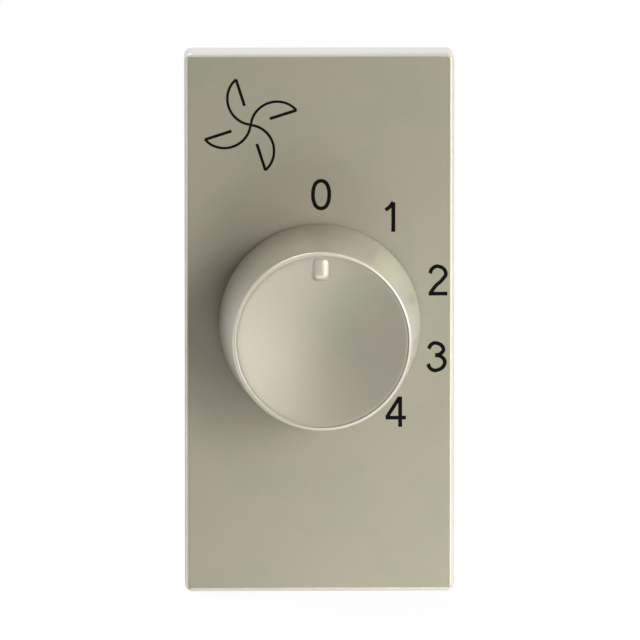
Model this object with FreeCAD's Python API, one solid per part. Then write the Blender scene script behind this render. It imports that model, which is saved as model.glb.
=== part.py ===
import FreeCAD, Part
import math
import os

# Fan speed switch, one module wide. Sizes are in millimetres.
# X is to the right of a person facing the switch, Y goes into the wall and Z is up.
# The origin is on the axis of the knob, in the plane that seats on the mounting frame.

# Front cover
COVER_WIDTH = 22.3
COVER_HEIGHT = 45.0
COVER_DEPTH = 4.3
COVER_PLATE = 1.6
COVER_SIDE_WALL = 1.2
COVER_END_WALL = 1.8
COVER_CORNER = 0.6
COVER_FRONT_EDGE = 0.25
CAVITY_CORNER = 0.3
COLLAR_RADIUS = 4.8
COLLAR_LENGTH = 1.2
RIB_THICK = 1.0
RIB_HEIGHT = 1.0
RIB_SPREAD = 5.0
RIB_GAP = 1.2
RIB_CLEARANCE = 0.1

# Rear housing
HOUSING_FIT = 0.05
HOUSING_BACK = 27.0
HOUSING_WALL = 1.2
HOUSING_FLOOR = 1.4
HOUSING_CORNER = 0.8
HOUSING_REAR_EDGE = 0.5
SHOULDER_FRONT = 12.8
SHOULDER_DROP = 1.85
SHOULDER_INSET = 0.5
VENT_SLOT = 1.2
VENT_PITCH = 4.0
VENT_COUNT = 6
VENT_TOP_SPACE = 6.45
VENT_SIDE_FROM = 9.0
VENT_SIDE_TO = 21.0
VENT_REAR_HALF = 5.6

# Snap joint between cover and housing
BARB_WIDTH = 7.6
BARB_FROM = -2.5
BARB_TO = -1.5
BARB_HEIGHT = 0.5
BARB_CLEARANCE = 0.15

# Latches that hold the switch in a frame
FRAME_THICK = 2.3
LATCH_WIDTH = 8.0
LATCH_REACH = 1.25
LATCH_RAMP = 6.0
LATCH_SLOT = 0.8
LATCH_FRONT = 1.0
LATCH_ROOT = 12.0

# Knob
KNOB_BASE_RADIUS = 8.35
KNOB_FACE_RADIUS = 7.4
KNOB_PROUD = 11.2
KNOB_LIFT = 0.3
KNOB_SKIN = 1.2
KNOB_FACE_SKIN = 1.4
KNOB_RIM_WIDTH = 0.28
KNOB_RIM_BREAK = 0.1
KNOB_RIM_DROP = 0.15
KNOB_DISH = 0.55
KNOB_HUB_RADIUS = 4.4
KNOB_HUB_LIFT = 0.7
KNOB_RIB_THICK = 0.8
KNOB_RIB_COUNT = 6
KNOB_RIB_LIFT = 3.4
POINTER_WIDTH = 1.6
POINTER_INNER = 4.95
POINTER_SINK = 0.03
POINTER_EDGE = 0.28

# Grip spring between knob and shaft
GRIP_WIDTH = 2.1
GRIP_THICK = 0.25
GRIP_LENGTH = 5.4
GRIP_SPACE = 0.55
GRIP_SLACK = 0.03

# Rotor
SHAFT_RADIUS = 3.0
SHAFT_FLAT = 2.3
SHAFT_FLAT_LENGTH = 7.95
SHAFT_TIP_GAP = 0.6
SHAFT_TIP_CHAMFER = 0.4
BEARING_CLEARANCE = 0.05
KNOB_FIT = 0.05
WHEEL_SIDE_GAP = 0.7
WHEEL_THICK = 2.8
WHEEL_GAP = 0.3
STEP_ANGLE = 35.0
STEP_COUNT = 5
POCKET_LIFT = 0.8
POCKET_RADIUS = 1.5
LUG_INNER = 5.2
LUG_OUTER = 6.8
LUG_HEIGHT = 1.1
LUG_HALF_ANGLE = 9.0
LUG_ANGLE = 110.0
STOP_CLEARANCE_ANGLE = 2.0
STOP_ANGLE = 14.0
STOP_OUTER = 7.6
STOP_GAP = 0.4
SHOULDER_RADIUS = 3.0
SHOULDER_HEIGHT = 1.3
REAR_JOURNAL_RADIUS = 2.2

# Circuit board and its bearing
BOARD_SIDE_GAP = 0.1
BOARD_END_GAP = 0.15
BOARD_FRONT = 4.0
BOARD_THICK = 1.6
BOARD_NOTCH_HALF = 5.0
BOARD_NOTCH_DEPTH = 1.4
BUSH_RADIUS = 3.2
BUSH_FLANGE_RADIUS = 3.9
BUSH_FLANGE = 0.8
JOURNAL_END_GAP = 0.2

# Contacts
CONTACT_THICK = 0.4
COMMON_INNER = 4.4
COMMON_OUTER = 5.6
SPEED_DEPTH = 1.9
SPEED_OVERHANG = 0.1
SPEED_HALF_ANGLE = 12.0
WIPER_THICK = 0.3
WIPER_INNER = 3.3
WIPER_OUTER = 4.3
WIPER_FINGER = 1.6
WIPER_TIP_RADIUS = 0.4
WIPER_TIP_GAP = 0.2
WIPER_ANGLE = 200.0

# Detent spring
DETENT_THICK = 0.3
DETENT_WIDTH = 2.3
DETENT_FRONT = -0.9
DETENT_GAP = 0.3
DETENT_LIFT = 1.35
DETENT_NOTCH = 0.5
DETENT_SLACK = 0.05

# Capacitors
CAPACITOR_HEIGHT = 16.5
CAPACITOR_LEAD_INSET = 1.95
CAPACITOR_TOP_SPACE = 3.05
CAPACITOR_BOTTOM_SPACE = 0.3
CAPACITOR_EDGE = 0.5
CAPACITOR_LARGE = 9.2
CAPACITOR_SIDE_GAP = 0.3
CAPACITOR_GAP = 0.2
LEAD_RADIUS = 0.35
LEAD_CLEARANCE = 0.1
LEAD_BEND = 0.5
LEAD_PROUD = 0.6

# Resistors
SURGE_RADIUS = 1.5
SURGE_SIDE_SPACE = 2.9
SURGE_NECK = 1.1
SURGE_TOP_SPACE = 2.85
SURGE_SPACING = 4.2
BLEED_RADIUS = 1.15
BLEED_LENGTH = 6.3
BLEED_BOTTOM_SPACE = 4.05
BLEED_SPACING = 3.2
BLEED_PITCH = 10.0
RESISTOR_WAIST_DEPTH = 0.2
RESISTOR_NECK = 0.5

# Terminals
CAGE_HEIGHT = 7.6
CAGE_SIDE_SPACE = 0.9
CAGE_BARRIER_SPACE = 0.6
CAGE_END_SPACE = 1.15
CAGE_FRONT = 12.6
CAGE_DEPTH = 7.6
TUNNEL_RADIUS = 2.1
TUNNEL_FROM_FRONT = 2.8
SCREW_RADIUS = 1.7
SCREW_CLEARANCE = 0.05
SCREW_TIP_GAP = 0.1
SCREW_HEAD_RADIUS = 2.8
SCREW_HEAD = 1.9
SCREW_HEAD_LIFT = 1.7
SCREW_SLOT = 0.8
SCREW_SLOT_DEPTH = 1.0
SCREW_SLOT_HALF = 2.2
WIRE_ENTRY_RADIUS = 2.0
WIRE_COLLAR_RADIUS = 3.0
DRIVER_RADIUS = 3.0
DRIVER_LENGTH = 3.1
DRIVER_RELIEF = 0.3
DRIVER_TUBE_RADIUS = 3.9
STRIP_THICK = 0.8
STRIP_WIDTH = 3.0
STRIP_FOOT_INSET = 1.8
STRIP_PROUD = 0.6
STRIP_CLEARANCE = 0.1
BARRIER_THICK = 1.2
BARRIER_RISE = 0.4
BARRIER_RELIEF = 1.85
BARRIER_STEP = 0.4

# Board posts and screws
POST_WIDTH = 3.1
POST_HEIGHT = 2.65
POST_LENGTH = 5.4
BOARD_SCREW_SIDE = 1.8
BOARD_SCREW_END = 1.45
BOARD_SCREW_RADIUS = 0.8
BOARD_SCREW_LENGTH = 4.6
BOARD_SCREW_HEAD_RADIUS = 1.3
BOARD_SCREW_HEAD = 0.9
BOARD_SCREW_HOLE = 1.0

# Planes along Y that follow from the sizes above
PLATE_FRONT = -COVER_DEPTH
PLATE_BACK = PLATE_FRONT + COVER_PLATE
COLLAR_BACK = PLATE_BACK + COLLAR_LENGTH
WHEEL_FRONT = COLLAR_BACK + WHEEL_GAP
WHEEL_BACK = WHEEL_FRONT + WHEEL_THICK
KNOB_FRONT = PLATE_FRONT - KNOB_PROUD
KNOB_BACK = PLATE_FRONT - KNOB_LIFT
FACE_CENTRE = KNOB_FRONT + KNOB_RIM_DROP + KNOB_DISH
FACE_INSIDE = FACE_CENTRE + KNOB_FACE_SKIN
SHAFT_TIP = FACE_INSIDE + SHAFT_TIP_GAP
BOARD_BACK = BOARD_FRONT + BOARD_THICK
CONTACT_FRONT = BOARD_FRONT - CONTACT_THICK
CAGE_BACK = CAGE_FRONT + CAGE_DEPTH
TUNNEL_Y = CAGE_FRONT + TUNNEL_FROM_FRONT
SCREW_TIP = TUNNEL_Y + TUNNEL_RADIUS + SCREW_TIP_GAP
HEAD_FRONT = CAGE_BACK + SCREW_HEAD_LIFT

# Half sizes across X and Z
HOUSING_HALF_X = COVER_WIDTH / 2 - COVER_SIDE_WALL - HOUSING_FIT
HOUSING_HALF_Z = COVER_HEIGHT / 2 - COVER_END_WALL - HOUSING_FIT
INSIDE_HALF_X = HOUSING_HALF_X - HOUSING_WALL
INSIDE_HALF_Z = HOUSING_HALF_Z - HOUSING_WALL
BOARD_HALF_X = INSIDE_HALF_X - BOARD_SIDE_GAP
BOARD_HALF_Z = INSIDE_HALF_Z - BOARD_END_GAP
CAGE_WIDTH = INSIDE_HALF_X - CAGE_SIDE_SPACE - CAGE_BARRIER_SPACE - BARRIER_THICK / 2
STRIP_FOOT = CAGE_WIDTH - STRIP_FOOT_INSET
TERMINAL_X = INSIDE_HALF_X - CAGE_SIDE_SPACE - CAGE_WIDTH / 2
CAGE_BOTTOM = CAGE_END_SPACE - INSIDE_HALF_Z
CAGE_TOP = CAGE_BOTTOM + CAGE_HEIGHT
CAGE_Z = CAGE_BOTTOM + CAGE_HEIGHT / 2
BARRIER_TOP = CAGE_TOP + BARRIER_RISE
CAPACITOR_TOP = INSIDE_HALF_Z - CAPACITOR_TOP_SPACE
CAPACITOR_BOTTOM = BARRIER_TOP + CAPACITOR_BOTTOM_SPACE
CAPACITOR_SMALL = 2 * (INSIDE_HALF_X - CAPACITOR_SIDE_GAP) - CAPACITOR_LARGE - CAPACITOR_GAP
SURGE_UPPER = INSIDE_HALF_Z - SURGE_TOP_SPACE
SURGE_PITCH = 2 * (INSIDE_HALF_X - SURGE_SIDE_SPACE)
SURGE_LENGTH = SURGE_PITCH - 2 * SURGE_NECK
BLEED_LOWER = BLEED_BOTTOM_SPACE - INSIDE_HALF_Z

# Radii and levels of the rotary switch
WHEEL_RADIUS = INSIDE_HALF_X - WHEEL_SIDE_GAP
POCKET_CENTRE = WHEEL_RADIUS + POCKET_LIFT
DETENT_LEVEL = WHEEL_RADIUS + DETENT_LIFT
SPEED_OUTER = WHEEL_RADIUS + SPEED_OVERHANG
SPEED_INNER = SPEED_OUTER - SPEED_DEPTH
SPEED_MIDDLE = (SPEED_OUTER + SPEED_INNER) / 2
COMMON_MIDDLE = (COMMON_OUTER + COMMON_INNER) / 2

AXIS_X = FreeCAD.Vector(1, 0, 0)
AXIS_Y = FreeCAD.Vector(0, 1, 0)
AXIS_Z = FreeCAD.Vector(0, 0, 1)
CENTRE = FreeCAD.Vector(0, 0, 0)


def block(x0, x1, y0, y1, z0, z1):
    corner = FreeCAD.Vector(min(x0, x1), min(y0, y1), min(z0, z1))
    return Part.makeBox(abs(x1 - x0), abs(y1 - y0), abs(z1 - z0), corner)


def rounded_block(half_x, half_z, y0, y1, corner):
    shape = block(-half_x, half_x, y0, y1, -half_z, half_z)
    edges = [e for e in shape.Edges if abs(e.Vertexes[0].Y - e.Vertexes[1].Y) > abs(y1 - y0) / 2]
    return shape.makeFillet(corner, edges)


def drum(radius, y0, y1, x=0.0, z=0.0):
    return Part.makeCylinder(radius, y1 - y0, FreeCAD.Vector(x, y0, z), AXIS_Y)


def tube(outer, inner, y0, y1, x=0.0, z=0.0):
    return drum(outer, y0, y1, x, z).cut(drum(inner, y0, y1, x, z))


def clock_point(radius, angle, y=0.0):
    """A point at an angle clockwise from the top, seen from the front."""
    turn = math.radians(angle)
    return FreeCAD.Vector(radius * math.sin(turn), y, radius * math.cos(turn))


def clock_turn(shape, angle):
    turned = shape.copy()
    turned.rotate(CENTRE, AXIS_Y, angle)
    return turned


def sector(inner, outer, y0, y1, middle, half_angle):
    """A piece of a ring, about an angle clockwise from the top."""
    start = clock_point(inner, middle - half_angle, y0)
    first = clock_point(outer, middle - half_angle, y0)
    top = clock_point(outer, middle, y0)
    last = clock_point(outer, middle + half_angle, y0)
    end = clock_point(inner, middle + half_angle, y0)
    bottom = clock_point(inner, middle, y0)
    edges = [
        Part.makeLine(start, first),
        Part.Arc(first, top, last).toShape(),
        Part.makeLine(last, end),
        Part.Arc(end, bottom, start).toShape(),
    ]
    return Part.Face(Part.Wire(edges)).extrude(FreeCAD.Vector(0, y1 - y0, 0))


def at_radius(radius, y):
    return FreeCAD.Vector(radius, y, 0)


def prism(points, direction):
    closed = [FreeCAD.Vector(*p) for p in points]
    closed.append(closed[0])
    return Part.Face(Part.makePolygon(closed)).extrude(FreeCAD.Vector(*direction))


def both_ends(shape):
    """The shape and its mirror image below the axis."""
    return shape.fuse(shape.mirror(CENTRE, AXIS_Z))


# Front cover

def cover_shell():
    half_x = COVER_WIDTH / 2
    half_z = COVER_HEIGHT / 2
    shell = rounded_block(half_x, half_z, PLATE_FRONT, 0, COVER_CORNER)
    front = [e for e in shell.Edges if e.BoundBox.YMax < PLATE_FRONT + COVER_FRONT_EDGE / 10]
    shell = shell.makeFillet(COVER_FRONT_EDGE, front)
    cavity = rounded_block(
        half_x - COVER_SIDE_WALL, half_z - COVER_END_WALL, PLATE_BACK, 1, CAVITY_CORNER
    )
    return shell.cut(cavity)


def cover_stops():
    """Two posts that stop the lug of the rotor at both ends of its travel."""
    reach = LUG_HALF_ANGLE + STOP_CLEARANCE_ANGLE + STOP_ANGLE / 2
    travel = STEP_ANGLE * (STEP_COUNT - 1)
    back = WHEEL_FRONT - STOP_GAP
    first = sector(LUG_INNER, STOP_OUTER, PLATE_BACK, back, LUG_ANGLE - reach, STOP_ANGLE / 2)
    last = sector(LUG_INNER, STOP_OUTER, PLATE_BACK, back, LUG_ANGLE + travel + reach, STOP_ANGLE / 2)
    return first.fuse(last)


def cover_ribs():
    end = INSIDE_HALF_Z - RIB_CLEARANCE
    ribs = []
    for x in (-RIB_SPREAD, RIB_SPREAD):
        rib = block(
            x - RIB_THICK / 2, x + RIB_THICK / 2, PLATE_BACK, PLATE_BACK + RIB_HEIGHT,
            WHEEL_RADIUS + RIB_GAP, end
        )
        ribs.append(both_ends(rib))
    return ribs[0].fuse(ribs[1])


def barb_pocket():
    wall = COVER_HEIGHT / 2 - COVER_END_WALL
    half = BARB_WIDTH / 2 + BARB_CLEARANCE
    return block(
        -half, half, BARB_FROM - BARB_CLEARANCE, BARB_TO + BARB_CLEARANCE,
        wall, wall + BARB_HEIGHT + BARB_CLEARANCE
    )


def front_cover():
    cover = cover_shell()
    collar = drum(COLLAR_RADIUS, PLATE_BACK, COLLAR_BACK)
    cover = cover.fuse([collar, cover_stops(), cover_ribs()])
    cover = cover.cut(drum(SHAFT_RADIUS + BEARING_CLEARANCE, PLATE_FRONT - 1, COLLAR_BACK + 1))
    return cover.cut(both_ends(barb_pocket())).removeSplitter()


# Rear housing

def housing_shell():
    """Box with a lower rear part: its top steps down behind the upper latch."""
    step = SHOULDER_FRONT + SHOULDER_DROP
    front = rounded_block(HOUSING_HALF_X, HOUSING_HALF_Z, PLATE_BACK, SHOULDER_FRONT, HOUSING_CORNER)
    low = HOUSING_HALF_Z - SHOULDER_DROP / 2
    rear = rounded_block(HOUSING_HALF_X, low, step, HOUSING_BACK, HOUSING_CORNER)
    rim = [e for e in rear.Edges if e.BoundBox.YMin > HOUSING_BACK - HOUSING_REAR_EDGE]
    rear = rear.makeChamfer(HOUSING_REAR_EDGE, rim)
    rear.translate(FreeCAD.Vector(0, 0, low - HOUSING_HALF_Z))
    ends = [
        [f for f in part.Faces if abs(f.BoundBox.YMin - y) + abs(f.BoundBox.YMax - y) < 0.001][0]
        for part, y in ((front, SHOULDER_FRONT), (rear, step))
    ]
    shoulder = Part.makeLoft([end.OuterWire for end in ends], True, True)
    inside = HOUSING_BACK - HOUSING_FLOOR
    slope = SHOULDER_FRONT - SHOULDER_INSET
    hollow = prism([
        (-INSIDE_HALF_X, PLATE_BACK - 1, -INSIDE_HALF_Z),
        (-INSIDE_HALF_X, PLATE_BACK - 1, INSIDE_HALF_Z),
        (-INSIDE_HALF_X, slope, INSIDE_HALF_Z),
        (-INSIDE_HALF_X, slope + SHOULDER_DROP, INSIDE_HALF_Z - SHOULDER_DROP),
        (-INSIDE_HALF_X, inside, INSIDE_HALF_Z - SHOULDER_DROP),
        (-INSIDE_HALF_X, inside, -INSIDE_HALF_Z),
    ], (2 * INSIDE_HALF_X, 0, 0))
    return front.fuse([shoulder, rear]).removeSplitter().cut(hollow)


def board_posts():
    """Corner posts that the circuit board lies on, with pilot holes for its screws."""
    posts = []
    for side in (-1, 1):
        post = block(
            side * (INSIDE_HALF_X - POST_WIDTH), side * INSIDE_HALF_X,
            BOARD_BACK, BOARD_BACK + POST_LENGTH, INSIDE_HALF_Z - POST_HEIGHT, INSIDE_HALF_Z
        )
        posts.append(both_ends(post))
    posts = posts[0].fuse(posts[1])
    for x, z in board_screw_places():
        posts = posts.cut(drum(BOARD_SCREW_RADIUS, BOARD_BACK, BOARD_BACK + BOARD_SCREW_LENGTH, x, z))
    return posts


def board_screw_places():
    x = INSIDE_HALF_X - BOARD_SCREW_SIDE
    z = INSIDE_HALF_Z - BOARD_SCREW_END
    return ((x, z), (-x, -z))


def terminal_barrier():
    inside = HOUSING_BACK - HOUSING_FLOOR
    half = BARRIER_THICK / 2
    step = CAGE_FRONT + BARRIER_STEP
    front = block(-half, half, BOARD_BACK, step, BARRIER_RELIEF - INSIDE_HALF_Z, BARRIER_TOP)
    rear = block(-half, half, step, inside, -INSIDE_HALF_Z, BARRIER_TOP)
    return front.fuse(rear)


def terminal_supports(side):
    """Collar at a wire entry and tube of a driver hole, both bearing on the terminal."""
    x = side * TERMINAL_X
    collar = Part.makeCylinder(
        WIRE_COLLAR_RADIUS, CAGE_BOTTOM + INSIDE_HALF_Z, FreeCAD.Vector(x, TUNNEL_Y, -INSIDE_HALF_Z), AXIS_Z
    )
    sleeve = drum(DRIVER_TUBE_RADIUS, CAGE_BACK, HOUSING_BACK - HOUSING_FLOOR, x, CAGE_Z)
    return collar.fuse(sleeve)


def terminal_holes(side):
    x = side * TERMINAL_X
    entry = Part.makeCylinder(
        WIRE_ENTRY_RADIUS, CAGE_BOTTOM + HOUSING_HALF_Z, FreeCAD.Vector(x, TUNNEL_Y, -HOUSING_HALF_Z), AXIS_Z
    )
    throat = HOUSING_BACK - DRIVER_LENGTH
    driver = drum(DRIVER_RADIUS, throat, HOUSING_BACK, x, CAGE_Z)
    relief = drum(DRIVER_RADIUS + DRIVER_RELIEF, CAGE_BACK, throat, x, CAGE_Z)
    return entry.fuse([driver, relief])


def housing_barb():
    """Wedge that snaps into the end wall of the cover."""
    foot = HOUSING_HALF_Z
    half = BARB_WIDTH / 2
    profile = [
        (-half, BARB_FROM, foot),
        (-half, BARB_TO, foot),
        (-half, BARB_TO, foot + BARB_HEIGHT),
    ]
    return prism(profile, (BARB_WIDTH, 0, 0))


def frame_latch():
    """Hook of the spring arm that grips behind the mounting frame."""
    foot = HOUSING_HALF_Z
    half = LATCH_WIDTH / 2
    profile = [
        (-half, FRAME_THICK, foot - HOUSING_WALL),
        (-half, FRAME_THICK, foot + LATCH_REACH),
        (-half, FRAME_THICK + LATCH_SLOT, foot + LATCH_REACH),
        (-half, FRAME_THICK + LATCH_RAMP, foot),
        (-half, FRAME_THICK + LATCH_RAMP, foot - HOUSING_WALL),
    ]
    return prism(profile, (LATCH_WIDTH, 0, 0))


def latch_slots():
    """The slot around three sides of a spring arm."""
    half = LATCH_WIDTH / 2
    low = INSIDE_HALF_Z - 1
    high = HOUSING_HALF_Z + 1
    across = block(-half - LATCH_SLOT, half + LATCH_SLOT, LATCH_FRONT, LATCH_FRONT + LATCH_SLOT, low, high)
    left = block(-half - LATCH_SLOT, -half, LATCH_FRONT, LATCH_ROOT, low, high)
    right = block(half, half + LATCH_SLOT, LATCH_FRONT, LATCH_ROOT, low, high)
    return across.fuse([left, right])


def vents():
    slots = []
    half = VENT_SLOT / 2
    floor = HOUSING_BACK - HOUSING_FLOOR
    for i in range(VENT_COUNT):
        z = INSIDE_HALF_Z - VENT_TOP_SPACE - i * VENT_PITCH
        side = block(-HOUSING_HALF_X, HOUSING_HALF_X, VENT_SIDE_FROM, VENT_SIDE_TO, z - half, z + half)
        rear = block(-VENT_REAR_HALF, VENT_REAR_HALF, floor, HOUSING_BACK, z - half, z + half)
        slots += [side, rear]
    return slots


def detent_notches():
    reach = INSIDE_HALF_X + DETENT_NOTCH
    return block(
        -reach, reach, PLATE_BACK, DETENT_FRONT + DETENT_WIDTH + DETENT_SLACK,
        DETENT_LEVEL - DETENT_SLACK, DETENT_LEVEL + DETENT_THICK + DETENT_SLACK
    )


def rear_housing():
    housing = housing_shell()
    housing = housing.cut(both_ends(latch_slots()))
    supports = [terminal_supports(side) for side in (-1, 1)]
    housing = housing.fuse(supports + [board_posts(), terminal_barrier()])
    housing = housing.fuse([both_ends(housing_barb()), both_ends(frame_latch())])
    cuts = vents() + [terminal_holes(side) for side in (-1, 1)] + [detent_notches()]
    return housing.cut(cuts).removeSplitter()


# Knob

def knob_body():
    """The outside of the knob: drafted side, thin rim broken at both edges and dished face."""
    rim_inner = KNOB_FACE_RADIUS - KNOB_RIM_WIDTH
    dish_edge = KNOB_FRONT + KNOB_RIM_DROP
    outer = at_radius(KNOB_FACE_RADIUS, KNOB_FRONT + KNOB_RIM_BREAK)
    rim_top = at_radius(KNOB_FACE_RADIUS - KNOB_RIM_BREAK, KNOB_FRONT)
    rim_back = at_radius(rim_inner + KNOB_RIM_BREAK, KNOB_FRONT)
    inner = at_radius(rim_inner, KNOB_FRONT + KNOB_RIM_BREAK)
    edge = at_radius(rim_inner - KNOB_RIM_BREAK, dish_edge)
    middle = at_radius(0, FACE_CENTRE)
    dish_radius = (edge.x ** 2 + KNOB_DISH ** 2) / (2 * KNOB_DISH)
    sphere_centre = FACE_CENTRE - dish_radius
    between = at_radius(edge.x / 2, sphere_centre + math.sqrt(dish_radius ** 2 - edge.x ** 2 / 4))
    base = at_radius(KNOB_BASE_RADIUS, KNOB_BACK)
    base_axis = at_radius(0, KNOB_BACK)
    edges = [
        Part.makeLine(base, outer),
        Part.makeLine(outer, rim_top),
        Part.makeLine(rim_top, rim_back),
        Part.makeLine(rim_back, inner),
        Part.makeLine(inner, edge),
        Part.Arc(edge, between, middle).toShape(),
        Part.makeLine(middle, base_axis),
        Part.makeLine(base_axis, base),
    ]
    return Part.Face(Part.Wire(edges)).revolve(CENTRE, AXIS_Y, 360)


def knob_hollow():
    draft = (KNOB_BASE_RADIUS - KNOB_FACE_RADIUS) / (KNOB_BACK - KNOB_FRONT)
    wide = KNOB_BASE_RADIUS - KNOB_SKIN
    narrow = wide - draft * (KNOB_BACK - FACE_INSIDE)
    return Part.makeCone(narrow, wide, KNOB_BACK - FACE_INSIDE, at_radius(0, FACE_INSIDE), AXIS_Y)


def knob_ribs(hollow):
    """Ribs from hub to skirt, kept inside the hollow of the knob."""
    ribs = []
    for i in range(KNOB_RIB_COUNT):
        rib = block(
            -KNOB_RIB_THICK / 2, KNOB_RIB_THICK / 2, FACE_INSIDE, KNOB_BACK - KNOB_RIB_LIFT,
            KNOB_HUB_RADIUS - KNOB_RIB_THICK / 2, KNOB_BASE_RADIUS
        )
        ribs.append(clock_turn(rib, i * 360 / KNOB_RIB_COUNT).common(hollow))
    return ribs


def knob_bore():
    """D shaped hole for the shaft, with room for the grip spring at its flat."""
    length = PLATE_FRONT - SHAFT_TIP + SHAFT_TIP_GAP / 2
    radius = SHAFT_RADIUS + KNOB_FIT
    bore = drum(radius, PLATE_FRONT - length, PLATE_FRONT)
    flat = SHAFT_FLAT + GRIP_SPACE
    return bore.cut(block(-radius, radius, PLATE_FRONT - length, PLATE_FRONT, -radius, -flat))


def pointer():
    """Raised pointer on the face, from the rim inward, with a rounded inner end."""
    half = POINTER_WIDTH / 2
    outer = KNOB_FACE_RADIUS - KNOB_RIM_WIDTH * 0.75
    front = KNOB_FRONT + POINTER_SINK
    tab = block(-half, half, front, FACE_CENTRE, POINTER_INNER + half, outer)
    tab = tab.fuse(drum(half, front, FACE_CENTRE, 0, POINTER_INNER + half)).removeSplitter()
    broken = [
        e for e in tab.Edges
        if e.BoundBox.YMax < front + POINTER_EDGE / 10 and e.BoundBox.ZMin < outer - POINTER_EDGE
    ]
    return tab.makeChamfer(POINTER_EDGE, broken)


def knob():
    hollow = knob_hollow()
    shape = knob_body().cut(hollow)
    hub = drum(KNOB_HUB_RADIUS, FACE_INSIDE, PLATE_FRONT - KNOB_HUB_LIFT)
    shape = shape.fuse([hub, pointer()] + knob_ribs(hollow))
    return shape.cut(knob_bore()).removeSplitter()


def knob_grip_spring():
    """Bowed strip between the flat of the shaft and the flat of the knob."""
    middle = (SHAFT_TIP + PLATE_FRONT - KNOB_HUB_LIFT) / 2
    start = middle - GRIP_LENGTH / 2
    end = middle + GRIP_LENGTH / 2
    near = -SHAFT_FLAT - GRIP_SLACK
    far = -SHAFT_FLAT - GRIP_SPACE + GRIP_SLACK
    half = GRIP_WIDTH / 2

    def place(y, z):
        return FreeCAD.Vector(-half, y, z)

    low = place(start, far)
    low_inner = place(start, far + GRIP_THICK)
    high = place(end, far)
    high_inner = place(end, far + GRIP_THICK)
    edges = [
        Part.Arc(low, place(middle, near - GRIP_THICK), high).toShape(),
        Part.makeLine(high, high_inner),
        Part.Arc(high_inner, place(middle, near), low_inner).toShape(),
        Part.makeLine(low_inner, low),
    ]
    return Part.Face(Part.Wire(edges)).extrude(AXIS_X * GRIP_WIDTH)


# Rotor

def rotor_shaft():
    shaft = drum(SHAFT_RADIUS, SHAFT_TIP, WHEEL_FRONT)
    tip = [e for e in shaft.Edges if e.BoundBox.YMax < SHAFT_TIP + SHAFT_TIP_CHAMFER / 2]
    shaft = shaft.makeChamfer(SHAFT_TIP_CHAMFER, tip)
    flat = block(
        -SHAFT_RADIUS, SHAFT_RADIUS, SHAFT_TIP, SHAFT_TIP + SHAFT_FLAT_LENGTH,
        -SHAFT_RADIUS, -SHAFT_FLAT
    )
    return shaft.cut(flat)


def star_wheel():
    """Index wheel with one pocket for each speed position."""
    wheel = drum(WHEEL_RADIUS, WHEEL_FRONT, WHEEL_BACK)
    for i in range(STEP_COUNT):
        centre = clock_point(POCKET_CENTRE, -i * STEP_ANGLE)
        wheel = wheel.cut(drum(POCKET_RADIUS, WHEEL_FRONT, WHEEL_BACK, centre.x, centre.z))
    return wheel


def rotor():
    lug = sector(
        LUG_INNER, LUG_OUTER, WHEEL_FRONT - LUG_HEIGHT, WHEEL_FRONT, LUG_ANGLE, LUG_HALF_ANGLE
    )
    shoulder = drum(SHOULDER_RADIUS, WHEEL_BACK, WHEEL_BACK + SHOULDER_HEIGHT)
    journal = drum(REAR_JOURNAL_RADIUS, WHEEL_BACK, BOARD_BACK - JOURNAL_END_GAP)
    return star_wheel().fuse([rotor_shaft(), lug, shoulder, journal]).removeSplitter()


def wiper_finger(reach, angle):
    """A sprung finger that slopes back from the wiper to a rounded tip over its contact."""
    half = WIPER_FINGER / 2
    tip_back = CONTACT_FRONT - WIPER_TIP_GAP
    tip_y = tip_back - WIPER_TIP_RADIUS
    root = WIPER_OUTER - WIPER_THICK
    profile = [
        (-half, WHEEL_BACK, root),
        (-half, WHEEL_BACK + WIPER_THICK, root),
        (-half, tip_y + WIPER_THICK / 2, reach),
        (-half, tip_y - WIPER_THICK / 2, reach),
    ]
    arm = prism(profile, (WIPER_FINGER, 0, 0))
    tip = Part.makeCylinder(WIPER_TIP_RADIUS, WIPER_FINGER, FreeCAD.Vector(-half, tip_y, reach), AXIS_X)
    return clock_turn(arm.fuse(tip), angle)


def wiper_contact():
    ring = tube(WIPER_OUTER, WIPER_INNER, WHEEL_BACK, WHEEL_BACK + WIPER_THICK)
    speed = wiper_finger(SPEED_MIDDLE, WIPER_ANGLE)
    common = wiper_finger(COMMON_MIDDLE, WIPER_ANGLE + 180)
    return ring.fuse([speed, common]).removeSplitter()


# Switch parts on the circuit board

def capacitor_lead_levels():
    return (CAPACITOR_TOP - CAPACITOR_LEAD_INSET, CAPACITOR_BOTTOM + CAPACITOR_LEAD_INSET)


def lead_places():
    """Every lead that passes through the board, as X and Z."""
    places = []
    for x in capacitor_centres():
        places += [(x, z) for z in capacitor_lead_levels()]
    for z in (SURGE_UPPER, SURGE_UPPER - SURGE_SPACING):
        places += [(-SURGE_PITCH / 2, z), (SURGE_PITCH / 2, z)]
    for z in (BLEED_LOWER + BLEED_SPACING, BLEED_LOWER):
        places += [(-BLEED_PITCH / 2, z), (BLEED_PITCH / 2, z)]
    return places


def circuit_board():
    board = block(-BOARD_HALF_X, BOARD_HALF_X, BOARD_FRONT, BOARD_BACK, -BOARD_HALF_Z, BOARD_HALF_Z)
    notch = block(
        -BOARD_NOTCH_HALF, BOARD_NOTCH_HALF, BOARD_FRONT, BOARD_BACK,
        BOARD_HALF_Z - BOARD_NOTCH_DEPTH, BOARD_HALF_Z
    )
    cuts = [both_ends(notch), drum(BUSH_RADIUS, BOARD_FRONT, BOARD_BACK)]
    for x, z in lead_places():
        cuts.append(drum(LEAD_RADIUS + LEAD_CLEARANCE, BOARD_FRONT, BOARD_BACK, x, z))
    for x, z in board_screw_places():
        cuts.append(drum(BOARD_SCREW_HOLE, BOARD_FRONT, BOARD_BACK, x, z))
    for side in (-1, 1):
        cuts.append(strip_leg(side, STRIP_CLEARANCE))
    return board.cut(cuts)


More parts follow.
